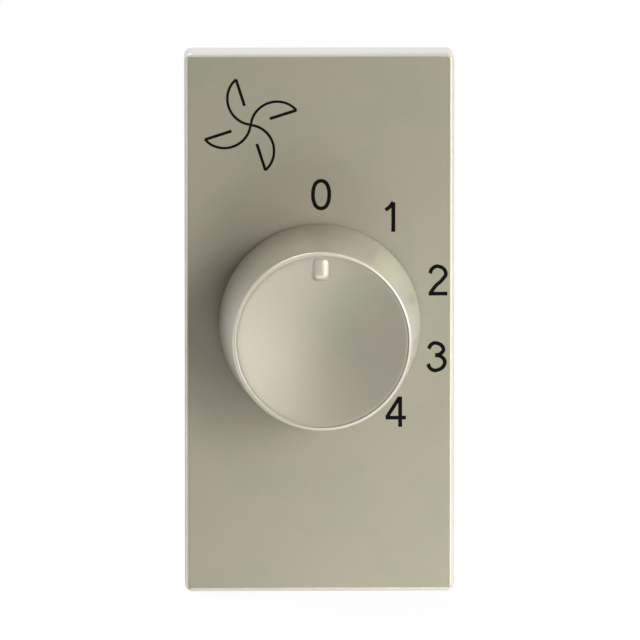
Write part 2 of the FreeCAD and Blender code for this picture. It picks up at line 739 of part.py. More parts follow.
def rotor_bearing():
    sleeve = drum(BUSH_RADIUS, BOARD_FRONT - BUSH_FLANGE, BOARD_BACK)
    flange = drum(BUSH_FLANGE_RADIUS, BOARD_FRONT - BUSH_FLANGE, BOARD_FRONT)
    bore = drum(
        REAR_JOURNAL_RADIUS + BEARING_CLEARANCE, BOARD_FRONT - BUSH_FLANGE, BOARD_BACK
    )
    return sleeve.fuse(flange).cut(bore).removeSplitter()


def common_contact():
    return tube(COMMON_OUTER, COMMON_INNER, CONTACT_FRONT, BOARD_FRONT)


def speed_contacts():
    pads = []
    for i in range(1, STEP_COUNT):
        angle = WIPER_ANGLE + i * STEP_ANGLE
        pads.append(
            sector(SPEED_INNER, SPEED_OUTER, CONTACT_FRONT, BOARD_FRONT, angle, SPEED_HALF_ANGLE)
        )
    return Part.makeCompound(pads)


def detent_spring():
    """Leaf spring across the housing, with a rounded nose in the top pocket of the wheel."""
    outer = POCKET_RADIUS - DETENT_GAP
    inner = outer - DETENT_THICK
    back = DETENT_FRONT + DETENT_WIDTH
    level = DETENT_LEVEL
    top = level + DETENT_THICK
    reach = INSIDE_HALF_X + DETENT_NOTCH - DETENT_SLACK
    nose = tube(outer, inner, DETENT_FRONT, back, 0, POCKET_CENTRE)
    nose = nose.cut(block(-outer, outer, DETENT_FRONT, back, POCKET_CENTRE, level))
    legs = []
    for side in (-1, 1):
        legs.append(block(side * inner, side * outer, DETENT_FRONT, back, POCKET_CENTRE, top))
        legs.append(block(side * inner, side * reach, DETENT_FRONT, back, level, top))
    nose = nose.cut(block(-outer, outer, DETENT_FRONT, back, level, top + 1))
    return nose.fuse(legs).removeSplitter()


def capacitor_centres():
    total = CAPACITOR_LARGE + CAPACITOR_GAP + CAPACITOR_SMALL
    return (-total / 2 + CAPACITOR_LARGE / 2, total / 2 - CAPACITOR_SMALL / 2)


def capacitor(x, width):
    """Box capacitor standing on the back of the board, with two leads through it."""
    case = block(
        x - width / 2, x + width / 2, BOARD_BACK, BOARD_BACK + CAPACITOR_HEIGHT,
        CAPACITOR_BOTTOM, CAPACITOR_TOP
    )
    edges = [e for e in case.Edges if e.BoundBox.YMax > BOARD_BACK + CAPACITOR_EDGE]
    case = case.makeFillet(CAPACITOR_EDGE, edges)
    leads = []
    for z in capacitor_lead_levels():
        leads.append(drum(LEAD_RADIUS, BOARD_FRONT - LEAD_PROUD, BOARD_BACK, x, z))
    return case.fuse(leads)


def bent_lead(side, reach, y, z):
    """Round wire that runs out sideways and bends back through the board."""
    start = FreeCAD.Vector(0, y, z)
    path = Part.makePolygon([
        start,
        FreeCAD.Vector(side * (reach - LEAD_BEND), y, z),
        FreeCAD.Vector(side * reach, y + LEAD_BEND, z),
        FreeCAD.Vector(side * reach, BOARD_BACK - LEAD_CLEARANCE, z),
    ])
    section = Part.Wire(Part.makeCircle(LEAD_RADIUS, start, AXIS_X))
    return path.makePipeShell([section], True, False, 1)


def resistor(radius, length, pitch, z):
    """Axial resistor on the front of the board, with its leads bent back through it."""
    y = BOARD_FRONT - radius
    waist = radius - RESISTOR_WAIST_DEPTH
    middle = length / 2 - radius - RESISTOR_NECK
    profile = [
        (0, -length / 2), (radius, -length / 2), (radius, -middle - RESISTOR_NECK), (waist, -middle),
        (waist, middle), (radius, middle + RESISTOR_NECK), (radius, length / 2), (0, length / 2),
    ]
    points = [FreeCAD.Vector(along, y - out, z) for out, along in profile]
    body = Part.Face(Part.makePolygon(points + [points[0]]))
    body = body.revolve(FreeCAD.Vector(0, y, z), AXIS_X, 360)
    return body.fuse([bent_lead(side, pitch / 2, y, z) for side in (-1, 1)]).removeSplitter()


def surge_resistor(z):
    return resistor(SURGE_RADIUS, SURGE_LENGTH, SURGE_PITCH, z)


def bleed_resistor(z):
    return resistor(BLEED_RADIUS, BLEED_LENGTH, BLEED_PITCH, z)


def board_screws():
    screws = []
    for x, z in board_screw_places():
        head = drum(BOARD_SCREW_HEAD_RADIUS, BOARD_FRONT - BOARD_SCREW_HEAD, BOARD_FRONT, x, z)
        shank = drum(BOARD_SCREW_RADIUS, BOARD_FRONT, BOARD_BACK + BOARD_SCREW_LENGTH, x, z)
        half = SCREW_SLOT / 4
        slot = block(
            x - BOARD_SCREW_HEAD_RADIUS, x + BOARD_SCREW_HEAD_RADIUS,
            BOARD_FRONT - BOARD_SCREW_HEAD, BOARD_FRONT - BOARD_SCREW_HEAD / 2, z - half, z + half
        )
        screws.append(head.fuse(shank).cut(slot).removeSplitter())
    return Part.makeCompound(screws)


# Terminals

def terminal_cage(side):
    """Brass block with a tunnel for the wire and a hole for the clamping screw."""
    x = side * TERMINAL_X
    cage = block(
        x - CAGE_WIDTH / 2, x + CAGE_WIDTH / 2, CAGE_FRONT, CAGE_BACK, CAGE_BOTTOM, CAGE_TOP
    )
    tunnel = Part.makeCylinder(
        TUNNEL_RADIUS, CAGE_HEIGHT, FreeCAD.Vector(x, TUNNEL_Y, CAGE_BOTTOM), AXIS_Z
    )
    thread = drum(SCREW_RADIUS + SCREW_CLEARANCE, TUNNEL_Y, CAGE_BACK, x, CAGE_Z)
    return cage.cut([tunnel, thread])


def terminal_screw(side):
    x = side * TERMINAL_X
    head_back = HEAD_FRONT + SCREW_HEAD
    shank = drum(SCREW_RADIUS, SCREW_TIP, HEAD_FRONT, x, CAGE_Z)
    head = drum(SCREW_HEAD_RADIUS, HEAD_FRONT, head_back, x, CAGE_Z)
    screw = shank.fuse(head).removeSplitter()
    half = SCREW_SLOT / 2
    slot_front = head_back - SCREW_SLOT_DEPTH
    along = block(
        x - SCREW_SLOT_HALF, x + SCREW_SLOT_HALF, slot_front, head_back, CAGE_Z - half, CAGE_Z + half
    )
    across = block(
        x - half, x + half, slot_front, head_back, CAGE_Z - SCREW_SLOT_HALF, CAGE_Z + SCREW_SLOT_HALF
    )
    return screw.cut([along, across])


def strip_leg(side, clearance=0.0):
    """The leg of a terminal strip that runs forward through the board."""
    outer = TERMINAL_X + CAGE_WIDTH / 2
    half = STRIP_WIDTH / 2
    return block(
        side * (outer - STRIP_THICK - clearance), side * (outer + clearance),
        BOARD_FRONT - STRIP_PROUD, CAGE_FRONT, CAGE_Z - half - clearance, CAGE_Z + half + clearance
    )


def terminal_strip(side):
    outer = TERMINAL_X + CAGE_WIDTH / 2
    half = STRIP_WIDTH / 2
    foot = block(
        side * (outer - STRIP_FOOT), side * outer, CAGE_FRONT - STRIP_THICK, CAGE_FRONT,
        CAGE_Z - half, CAGE_Z + half
    )
    return strip_leg(side).fuse(foot).removeSplitter()


def main():
    large_x, small_x = capacitor_centres()
    nodes = {
        "front_cover": front_cover(),
        "rear_housing": rear_housing(),
        "circuit_board": circuit_board(),
        "rotor_bearing": rotor_bearing(),
        "common_contact": common_contact(),
        "speed_contacts": speed_contacts(),
        "detent_spring": detent_spring(),
        "capacitor_large": capacitor(large_x, CAPACITOR_LARGE),
        "capacitor_small": capacitor(small_x, CAPACITOR_SMALL),
        "surge_resistor_upper": surge_resistor(SURGE_UPPER),
        "surge_resistor_lower": surge_resistor(SURGE_UPPER - SURGE_SPACING),
        "bleed_resistor_upper": bleed_resistor(BLEED_LOWER + BLEED_SPACING),
        "bleed_resistor_lower": bleed_resistor(BLEED_LOWER),
        "board_screws": board_screws(),
        "knob": knob(),
        "knob_grip_spring": knob_grip_spring(),
        "rotor": rotor(),
        "wiper_contact": wiper_contact(),
    }
    for name, side in (("supply", -1), ("fan", 1)):
        nodes["terminal_cage_" + name] = terminal_cage(side)
        nodes["terminal_screw_" + name] = terminal_screw(side)
        nodes["terminal_strip_" + name] = terminal_strip(side)
    os.makedirs("parts", exist_ok=True)
    for name, shape in nodes.items():
        shape.exportStep("parts/" + name + ".step")


main()
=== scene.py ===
import math

import bpy
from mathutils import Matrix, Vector


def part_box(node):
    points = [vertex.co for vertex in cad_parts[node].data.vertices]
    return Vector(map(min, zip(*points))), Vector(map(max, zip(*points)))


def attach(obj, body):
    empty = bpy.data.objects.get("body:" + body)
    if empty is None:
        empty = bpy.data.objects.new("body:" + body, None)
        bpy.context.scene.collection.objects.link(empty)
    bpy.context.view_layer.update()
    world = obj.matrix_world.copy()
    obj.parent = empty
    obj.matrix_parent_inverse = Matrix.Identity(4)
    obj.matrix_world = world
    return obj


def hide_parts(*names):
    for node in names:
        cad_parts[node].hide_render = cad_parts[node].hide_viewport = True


# A fan speed switch: one wiring module with a painted cover and a dished knob.
# The shared frame has X to the right, Y into the wall and Z up. Sizes are in metres.

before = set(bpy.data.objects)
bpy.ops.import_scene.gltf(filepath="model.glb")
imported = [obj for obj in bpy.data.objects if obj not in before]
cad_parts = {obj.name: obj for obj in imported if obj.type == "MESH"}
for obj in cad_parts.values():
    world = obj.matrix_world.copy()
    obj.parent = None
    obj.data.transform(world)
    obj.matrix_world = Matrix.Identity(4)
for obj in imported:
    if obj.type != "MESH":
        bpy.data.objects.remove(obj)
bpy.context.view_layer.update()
MM = 0.001
WHITE = (1, 1, 1, 1)

# Planes and sizes read from the solids
COVER_LOW, COVER_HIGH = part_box("front_cover")
KNOB_LOW, KNOB_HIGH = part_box("knob")
PLATE_Y = COVER_LOW.y
PLATE_CENTRE = Vector((0, PLATE_Y, 0))


# Shader maths

def linear(red, green, blue):
    """A colour as read from a screen, from 0 to 255, in the shader's own units."""
    def channel(value):
        share = value / 255
        return share / 12.92 if share <= 0.04045 else ((share + 0.055) / 1.055) ** 2.4
    return (channel(red), channel(green), channel(blue), 1.0)


class Value:
    """A socket that can be used in sums; each sum adds a Math node."""

    def __init__(self, tree, socket):
        self.tree = tree
        self.socket = socket

    def math(self, operation, *others):
        return self.tree.node("ShaderNodeMath", {"operation": operation}, [self, *others])

    def __add__(self, other):
        return self.math("ADD", other)

    def __radd__(self, other):
        return self.math("ADD", other)

    def __sub__(self, other):
        return self.math("SUBTRACT", other)

    def __rsub__(self, other):
        return self.tree.node("ShaderNodeMath", {"operation": "SUBTRACT"}, [other, self])

    def __mul__(self, other):
        return self.math("MULTIPLY", other)

    def __rmul__(self, other):
        return self.math("MULTIPLY", other)

    def __truediv__(self, other):
        return self.math("DIVIDE", other)

    def __abs__(self):
        return self.math("ABSOLUTE")

    def larger(self, other):
        return self.math("MAXIMUM", other)

    def above(self, level):
        return self.math("GREATER_THAN", level)

    def below(self, level):
        return self.math("LESS_THAN", level)

    def clamp(self):
        return self.math("MAXIMUM", 0.0).math("MINIMUM", 1.0)


class NodeTree:
    """The nodes of one material, or of the world; last is the node that the others feed."""

    def __init__(self, owner, last):
        owner.use_nodes = True
        self.owner = owner
        self.nodes = owner.node_tree.nodes
        self.links = owner.node_tree.links
        self.last = self.nodes[last]

    def node(self, kind, settings=None, inputs=None, out=0):
        """Any node, from its type, its settings and the values or links of its sockets."""
        made = self.nodes.new(kind)
        for key, value in (settings or {}).items():
            setattr(made, key, value)
        pairs = inputs.items() if isinstance(inputs, dict) else enumerate(inputs or [])
        for key, value in pairs:
            self.feed(made.inputs[key], value)
        return Value(self, made.outputs[out])

    def feed(self, socket, value):
        if isinstance(value, Value):
            self.links.new(value.socket, socket)
        else:
            socket.default_value = value

    def finish(self, inputs):
        """Feeds the last node and gives back the material or the world."""
        for key, value in inputs.items():
            self.feed(self.last.inputs[key], value)
        return self.owner

    def place(self):
        """Where a point is on the object, in metres."""
        return self.node("ShaderNodeTexCoord", out="Object")

    def axes(self, vector=None):
        """The three parts of a vector, or of a point's place."""
        split = self.node("ShaderNodeSeparateXYZ", inputs=[vector or self.place()])
        outputs = split.socket.node.outputs
        return [Value(self, outputs[i]) for i in range(3)]

    def noise(self, size, detail=2.0, roughness=0.5, stretch=(1, 1, 1)):
        """Soft noise from 0 to 1 whose blotches are about size metres across."""
        mapped = self.node("ShaderNodeMapping", inputs={"Vector": self.place(), "Scale": stretch})
        return self.node(
            "ShaderNodeTexNoise",
            inputs={"Vector": mapped, "Scale": 1 / size, "Detail": detail, "Roughness": roughness},
        )

    def flakes(self, size):
        """Flat flakes about size metres across, each with a chance value from 0 to 1."""
        inputs = {"Vector": self.place(), "Scale": 1 / size}
        return self.axes(self.node("ShaderNodeTexVoronoi", inputs=inputs, out="Color"))[0]

    def mix(self, share, first, second):
        """A blend of two colours; on a Mix node they go in at 6 and 7 and come out at 2."""
        inputs = {0: share, 6: first, 7: second}
        return self.node("ShaderNodeMix", {"data_type": "RGBA"}, inputs, out=2)

    def bump(self, height, strength, depth):
        return self.node(
            "ShaderNodeBump", inputs={"Height": height, "Strength": strength, "Distance": depth}
        )


def new_paint(name):
    return NodeTree(bpy.data.materials.new(name), "Principled BSDF")


# Finishes

FLAKE_SIZE = 0.09 * MM
CLOUD_SIZE = 6 * MM
PATCH_SIZE = 8 * MM
PEEL_SIZE = 0.55 * MM
PATCH_FROM = 0.47
PATCH_SHARPNESS = 7
PATCH_TINT = (0.92, 0.99, 0.95)
NEUTRAL_GREY = (214, 212, 209)
HIGHLIGHT_PEARL = (255, 250, 236)
PEARL_METAL = 0.6
METAL_LOST = 0.45


def pearl_paint(name, tint, deeper, paler_mask, grey_places):
    """Satin pearl paint under lacquer: flakes, orange peel, greener patches, pale painted highlights along
    edges, paler neutral grey places.
    """
    paint = new_paint(name)
    flake = paint.flakes(FLAKE_SIZE)
    cloud = paint.noise(CLOUD_SIZE, detail=3)
    peel = paint.noise(PEEL_SIZE)
    edge = (paler_mask(paint) * (0.8 + cloud * 0.4)).clamp()
    grey_share = grey_places(paint)
    colour = paint.mix(cloud * 0.55 + flake * 0.22, linear(*tint), linear(*deeper))
    patch_noise = paint.noise(PATCH_SIZE, detail=3, roughness=0.6)
    patch = ((patch_noise - PATCH_FROM) * PATCH_SHARPNESS).clamp()
    greener = paint.node("ShaderNodeVectorMath", {"operation": "MULTIPLY"}, [colour, PATCH_TINT])
    colour = paint.mix(patch, colour, greener)
    # The masked places turn a paler neutral grey
    colour = paint.mix(grey_share * 0.75, colour, linear(*NEUTRAL_GREY))
    # Painted highlight: the masked places turn a near white pearl
    colour = paint.mix(edge * 0.8, colour, linear(*HIGHLIGHT_PEARL))
    return paint.finish({
        "Base Color": colour,
        "Metallic": (PEARL_METAL - edge * METAL_LOST - grey_share * METAL_LOST).clamp(),
        "Roughness": 0.38 + cloud * 0.06 + flake * (1 - edge) * 0.05 - edge * 0.13,
        "Coat Weight": 1.0,
        "Coat Roughness": 0.32,
        "Normal": paint.bump((peel * 0.6 + flake * 0.1) * (1 - edge), 0.12, 0.02 * MM),
    })


def ink(name):
    """Pad printed black ink, slightly uneven and matt."""
    paint = new_paint(name)
    grain = paint.noise(0.12 * MM, detail=3)
    return paint.finish({
        "Base Color": paint.mix(grain, linear(5, 5, 5), linear(14, 13, 12)),
        "Roughness": 0.5 + grain * 0.2,
        "Specular IOR Level": 0.1,
        "Normal": paint.bump(grain, 0.1, 0.01 * MM),
    })


def rubbed_box(low, high, width):
    """A mask that is 1 on the outer edges of a box and fades over width."""
    def mask(paint):
        near = []
        for value, start, end in zip(paint.axes(), low, high):
            off_centre = abs(value - (start + end) / 2)
            near.append(((off_centre - (end - start) / 2 + width) / width).clamp())
        right, back, up = near
        return (right * back).larger(back * up).larger(right * up)
    return mask


PLASTIC_GRAIN = 0.16 * MM
RUBBED_PLASTIC = (250, 248, 242)


def moulded_plastic(name, tint, shadow, paler_mask, roughness=0.5):
    """Moulded plastic with a fine spark texture, faint flow marks and paler edges."""
    paint = new_paint(name)
    grain = paint.noise(PLASTIC_GRAIN, detail=3, roughness=0.65)
    flow = paint.noise(7 * MM, stretch=(1, 0.35, 1))
    edge = paler_mask(paint)
    colour = paint.mix(flow * 0.6 + grain * 0.2, linear(*tint), linear(*shadow))
    return paint.finish({
        "Base Color": paint.mix(edge * 0.4, colour, linear(*RUBBED_PLASTIC)),
        "Roughness": roughness + flow * 0.1 + grain * 0.14 - edge * 0.1,
        "Specular IOR Level": 0.4,
        "Normal": paint.bump(grain, 0.28, 0.03 * MM),
    })


EDGE_BRIGHT_FROM = 0.52
EDGE_BRIGHT_FULL = 0.62


def stamped_metal(name, tint, dull, grain_stretch=(1, 1, 12)):
    """Rolled and stamped metal: fine lines along the strip, dull spots, bright edges."""
    paint = new_paint(name)
    lines = paint.noise(0.25 * MM, detail=4, stretch=grain_stretch)
    spots = paint.noise(1.6 * MM, detail=3)
    pointed = paint.node("ShaderNodeNewGeometry", out="Pointiness")
    edge = ((pointed - EDGE_BRIGHT_FROM) / (EDGE_BRIGHT_FULL - EDGE_BRIGHT_FROM)).clamp()
    tarnish = (spots * 1.6 - 0.5).clamp()
    return paint.finish({
        "Base Color": paint.mix(tarnish * 0.7 - edge * 0.4, linear(*tint), linear(*dull)),
        "Metallic": 1.0,
        "Roughness": 0.3 + lines * 0.12 + tarnish * 0.16,
        "Normal": paint.bump(lines, 0.12, 0.01 * MM),
    })


def board_laminate(name):
    """Paper laminate board: brown, with faint fibres and a satin lacquer."""
    paint = new_paint(name)
    fibres = paint.noise(0.3 * MM, detail=4, stretch=(1, 1, 5))
    spots = paint.noise(3 * MM)
    return paint.finish({
        "Base Color": paint.mix(fibres * 0.6 + spots * 0.4, linear(190, 146, 92), linear(148, 104, 58)),
        "Roughness": 0.42 + fibres * 0.15,
        "Normal": paint.bump(fibres, 0.15, 0.02 * MM),
    })


def resin_case(name):
    """Glossy yellow capacitor case with a slightly sunken, uneven skin."""
    paint = new_paint(name)
    waves = paint.noise(4 * MM)
    grain = paint.noise(0.2 * MM)
    return paint.finish({
        "Base Color": paint.mix(waves, linear(228, 178, 40), linear(206, 152, 28)),
        "Roughness": 0.26 + grain * 0.14,
        "Normal": paint.bump(waves * 0.7 + grain * 0.1, 0.1, 0.05 * MM),
    })


def banded_resistor(name, body, bands, half_band):
    """Lacquered resistor with colour bands across its length."""
    paint = new_paint(name)
    along = paint.axes()[0]
    grain = paint.noise(0.3 * MM, detail=3)
    colour = paint.mix(grain * 0.3, linear(*body), linear(*[channel * 0.8 for channel in body]))
    for place, tint in bands:
        inside = abs(along - place * MM).below(half_band)
        colour = paint.mix(inside, colour, linear(*tint))
    return paint.finish({
        "Base Color": colour,
        "Roughness": 0.34 + grain * 0.12,
        "Normal": paint.bump(grain, 0.12, 0.03 * MM),
    })


# Modelling helpers

MERGE = 0.0005 * MM
SOLID_MERGE = 0.001 * MM
TURN_AXIS = (0, 1, 0)
ACROSS, INWARD, UPWARD = 0, 1, 2

# How strongly large faces lead the shading: evenly, or fully where rounded edges meet flat faces
EVEN_WEIGHT = 50
FLAT_WEIGHT = 100


def deselect():
    bpy.ops.object.select_all(action="DESELECT")


def choose(*pieces):
    """Selects these pieces alone and makes the first of them active."""
    deselect()
    for piece in pieces:
        piece.select_set(True)
    bpy.context.view_layer.objects.active = pieces[0]


def edit(mode="VERT"):
    bpy.ops.object.mode_set(mode="EDIT")
    bpy.ops.mesh.select_mode(type=mode)


def leave():
    bpy.ops.object.mode_set(mode="OBJECT")


def select_all():
    bpy.ops.mesh.select_all(action="SELECT")


def settle():
    """Moves a piece's place, turn and scale into its mesh."""
    bpy.ops.object.transform_apply(location=True, rotation=True, scale=True)


def pick(piece, kind, test):
    """Selects the faces or edges of a piece that pass a test, and edits them."""
    if piece.mode == "EDIT":
        leave()
    mesh = piece.data
    for group in (mesh.polygons, mesh.edges, mesh.vertices):
        for item in group:
            item.select = False
    bpy.context.tool_settings.mesh_select_mode = (False, kind == "EDGE", kind == "FACE")
    for item in mesh.polygons if kind == "FACE" else mesh.edges:
        item.select = test(item)
    edit(kind)


def pick_edges(piece, test):
    """Selects the edges of a piece whose two ends pass a test on their places."""
    points = piece.data.vertices
    pick(piece, "EDGE", lambda edge: test(*(points[i].co for i in edge.vertices)))


def slice_up(piece, planes):
    """Cuts edges into flat faces, so that rounded edges don't bend the shading of flat faces."""
    choose(piece)
    edit()
    for level, axis in planes:
        select_all()
        spot = [level if i == axis else 0 for i in range(3)]
        bpy.ops.mesh.bisect(plane_co=spot, plane_no=[float(i == axis) for i in range(3)])
    leave()


def apply_modifiers(piece):
    choose(piece)
    for modifier in list(piece.modifiers):
        bpy.ops.object.modifier_apply(modifier=modifier.name)


def smooth(piece, angle):
    """Shades a piece smooth, with sharp edges where faces meet at more than angle degrees."""
    choose(piece)
    bpy.ops.object.shade_smooth_by_angle(angle=math.radians(angle))


def soften(piece, width):
    """Rounds every sharp edge of a piece."""
    bevel = piece.modifiers.new("rounding", "BEVEL")
    bevel.width = width
    bevel.segments = 2
    bevel.limit_method = "ANGLE"
    bevel.angle_limit = math.radians(30)
    apply_modifiers(piece)


def level_normals(piece, weight):
    """Weights the shading by face size, so that large flat faces stay flat."""
    weighted = piece.modifiers.new("weighted", "WEIGHTED_NORMAL")
    weighted.keep_sharp = True
    weighted.weight = weight
    apply_modifiers(piece)


def join(name, pieces):
    choose(*pieces)
    if len(pieces) > 1:
        bpy.ops.object.join()
    piece = bpy.context.object
    piece.name = name
    piece.data.name = name
    choose(piece)
    settle()
    return piece


def put(piece, body, material):
    """Gives a finished piece its material and the body that it rides on."""
    piece.data.materials.clear()
    piece.data.materials.append(material)
    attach(piece, body)


def draw(points):
    """Draws a line through points (right, back) by extruding one point, and stays in edit mode."""
    deselect()
    bpy.ops.mesh.primitive_plane_add(size=MM, location=(0, 0, 0))
    edit()
    select_all()
    bpy.ops.mesh.merge(type="CENTER")
    bpy.ops.transform.translate(value=(points[0][0], points[0][1], 0))
    for (x0, y0), (x1, y1) in zip(points, points[1:]):
        bpy.ops.mesh.extrude_region_move(TRANSFORM_OT_translate={"value": (x1 - x0, y1 - y0, 0)})


def spin(steps, angle):
    """Spins what is being edited about the Y axis, closes its seams and leaves edit mode."""
    select_all()
    bpy.ops.mesh.spin(steps=steps, angle=angle, center=(0, 0, 0), axis=TURN_AXIS)
    select_all()
    bpy.ops.mesh.remove_doubles(threshold=MERGE)
    bpy.ops.mesh.normals_make_consistent(inside=False)
    leave()


def turned(name, profile, steps):
    """A turned piece about the Y axis, from a profile of (radius, back) in metres."""
    draw(profile)
    spin(steps, 2 * math.pi)
    return join(name, [bpy.context.object])


def arc(centre, radius, start, end, steps):
    """Points of an arc in the (radius, back) plane, angles in degrees from the radius direction."""
    points = []
    for i in range(steps + 1):
        turn = math.radians(start + (end - start) * i / steps)
        points.append((centre[0] + radius * math.cos(turn), centre[1] + radius * math.sin(turn)))
    return points


def box_piece(low, high):
    deselect()
    low, high = Vector(low), Vector(high)
    bpy.ops.mesh.primitive_cube_add(size=1, location=(low + high) / 2)
    bpy.context.object.scale = high - low
    settle()
    return bpy.context.object


# Front cover

COVER_CORNER = 0.6 * MM
COVER_EDGE = 0.33 * MM
SLICE_GAP = 0.12 * MM
COVER_SIDE_WALL = 1.2 * MM
COVER_END_WALL = 1.8 * MM
COVER_PLATE = 1.6 * MM
OVERLAP = 0.02 * MM
BEHIND_PLATE = PLATE_Y + COVER_PLATE - OVERLAP
SHAFT_HOLE = 3.05 * MM
COLLAR_RADIUS = 4.8 * MM
COLLAR_END = -1.5 * MM
COLLAR_CHAMFER = 0.1 * MM
RIB_PLACE = 5.0 * MM
RIB_WIDTH = 1.0 * MM
RIB_SPAN = (9.2 * MM, 19.35 * MM)
STOP_RADII = (5.2 * MM, 7.6 * MM)
STOP_HEIGHT = 1.08 * MM
STOP_SWEEP = math.radians(14)
STOP_DROP = math.radians(2)
HIGHLIGHT_WIDTH = 0.47
HIGHLIGHT_SHARPNESS = 4


def cover_edge_highlight(paint):
    """1 along the rounded front edges of the cover, 0 elsewhere: a painted highlight line."""
    right, back, up = paint.axes()
    across = abs(right) - (COVER_HIGH.x - COVER_EDGE)
    tall = abs(up) - (COVER_HIGH.z - COVER_EDGE)
    round_share = across.larger(tall) / COVER_EDGE
    line = ((HIGHLIGHT_WIDTH - abs(round_share - 0.5)) * HIGHLIGHT_SHARPNESS).clamp()
    return line * back.below(PLATE_Y + COVER_EDGE)


def grey_on_walls(paint):
    """1 on the cover behind its front edge, where the paint turns a paler neutral grey."""
    back = paint.axes()[1]
    patch = paint.noise(3 * MM)
    return ((back - PLATE_Y - COVER_EDGE * 0.9) / (COVER_EDGE * 0.6) + patch * 0.2).clamp()


def cap_shell():
    """A box with rounded corners and front edge, hollowed from behind."""
    cap = box_piece(COVER_LOW, COVER_HIGH)
    pick_edges(cap, lambda a, b: abs(a.y - b.y) > MM)
    bpy.ops.mesh.bevel(offset=COVER_CORNER, segments=8, profile=0.5)
    pick_edges(cap, lambda a, b: max(a.y, b.y) < PLATE_Y + 0.01 * MM)
    bpy.ops.mesh.bevel(offset=COVER_EDGE, segments=6, profile=0.5)
    pick(cap, "FACE", lambda face: face.normal.y > 0.9999)
    lip = COVER_CORNER * 0.8
    bpy.ops.mesh.inset(thickness=lip)
    across = (COVER_HIGH.x - COVER_SIDE_WALL) / (COVER_HIGH.x - lip)
    up = (COVER_HIGH.z - COVER_END_WALL) / (COVER_HIGH.z - lip)
    bpy.ops.transform.resize(value=(across, 1, up), center_override=(0, 0, 0))
    hollow = COVER_HIGH.y - PLATE_Y - COVER_PLATE
    bpy.ops.mesh.extrude_region_move(TRANSFORM_OT_translate={"value": (0, -hollow, 0)})
    leave()
    return cap


def drill(piece, radius):
    """Cuts a round hole along the knob's axis through a piece."""
    deselect()
    bpy.ops.mesh.primitive_cylinder_add(
        vertices=64, radius=radius, depth=20 * MM, location=(0, 0, 0), rotation=(math.pi / 2, 0, 0))
    bit = bpy.context.object
    hole = piece.modifiers.new("hole", "BOOLEAN")
    hole.operation = "DIFFERENCE"
    hole.solver = "EXACT"
    hole.object = bit
    apply_modifiers(piece)
    bpy.data.objects.remove(bit)


def shaft_collar():
    """A short tube behind the plate, round the shaft hole, with a chamfered end."""
    return turned("collar", [
        (SHAFT_HOLE, BEHIND_PLATE), (COLLAR_RADIUS, BEHIND_PLATE),
        (COLLAR_RADIUS, COLLAR_END - COLLAR_CHAMFER), (COLLAR_RADIUS - COLLAR_CHAMFER, COLLAR_END),
        (SHAFT_HOLE, COLLAR_END), (SHAFT_HOLE, BEHIND_PLATE)], 64)


def plate_ribs(side):
    """Two stiffening ribs behind the plate on one side, above and below the knob."""
    middle = side * RIB_PLACE
    return [
        box_piece(
            (middle - RIB_WIDTH / 2, BEHIND_PLATE, start),
            (middle + RIB_WIDTH / 2, BEHIND_PLATE + RIB_WIDTH, end))
        for start, end in (RIB_SPAN, (-RIB_SPAN[1], -RIB_SPAN[0]))
    ]


def stop_post(side):
    """A short curved post behind the plate that ends the rotor's travel on one side."""
    inner, outer = STOP_RADII
    end = BEHIND_PLATE + STOP_HEIGHT
    draw([(inner, BEHIND_PLATE), (outer, BEHIND_PLATE), (outer, end), (inner, end), (inner, BEHIND_PLATE)])
    select_all()
    bpy.ops.mesh.remove_doubles(threshold=MERGE)
    bpy.ops.mesh.edge_face_add()
    spin(6, STOP_SWEEP)
    post = bpy.context.object
    half = STOP_SWEEP / 2
    turn = half + STOP_DROP if side > 0 else math.pi + half - STOP_DROP
    post.rotation_euler = (0, turn, 0)
    settle()
    return post


def front_cover():
    cap = cap_shell()
    drill(cap, SHAFT_HOLE)
    near_edge = COVER_EDGE + SLICE_GAP
    near_hole = SHAFT_HOLE + SLICE_GAP
    planes = []
    for level, axis in (
            (COVER_HIGH.x - near_edge, ACROSS), (COVER_HIGH.z - near_edge, UPWARD),
            (near_hole, ACROSS), (near_hole, UPWARD)):
        planes += [(level, axis), (-level, axis)]
    planes += [(PLATE_Y + near_edge, INWARD), (COVER_HIGH.y - SLICE_GAP, INWARD)]
    slice_up(cap, planes)
    pieces = [cap, shaft_collar()]
    for side in (-1, 1):
        pieces += plate_ribs(side)
        pieces.append(stop_post(side))
    piece = join("cover_cap", pieces)
    smooth(piece, 35)
    level_normals(piece, EVEN_WEIGHT)
    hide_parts("front_cover")
    return piece


# Knob

KNOB_BASE_RADIUS = KNOB_HIGH.x
KNOB_FACE_RADIUS = 7.4 * MM
KNOB_LIP = 0.15 * MM
RIM_OUTER_ROUND = 0.24 * MM
RIM_INNER_ROUND = 0.04 * MM
RIM_FLAT = 0.02 * MM
RIM_CROWN = 0.15 * MM
RIM_DROP = 0.1 * MM

# Points of the shoulder between rim and dish: how far in from the rim, and how deep
SHOULDER = ((0.03 * MM, 0.096 * MM), (0.09 * MM, 0.092 * MM), (0.16 * MM, 0.093 * MM))
SHOULDER_WIDTH = 0.24 * MM
SHOULDER_DROP = 0.1 * MM

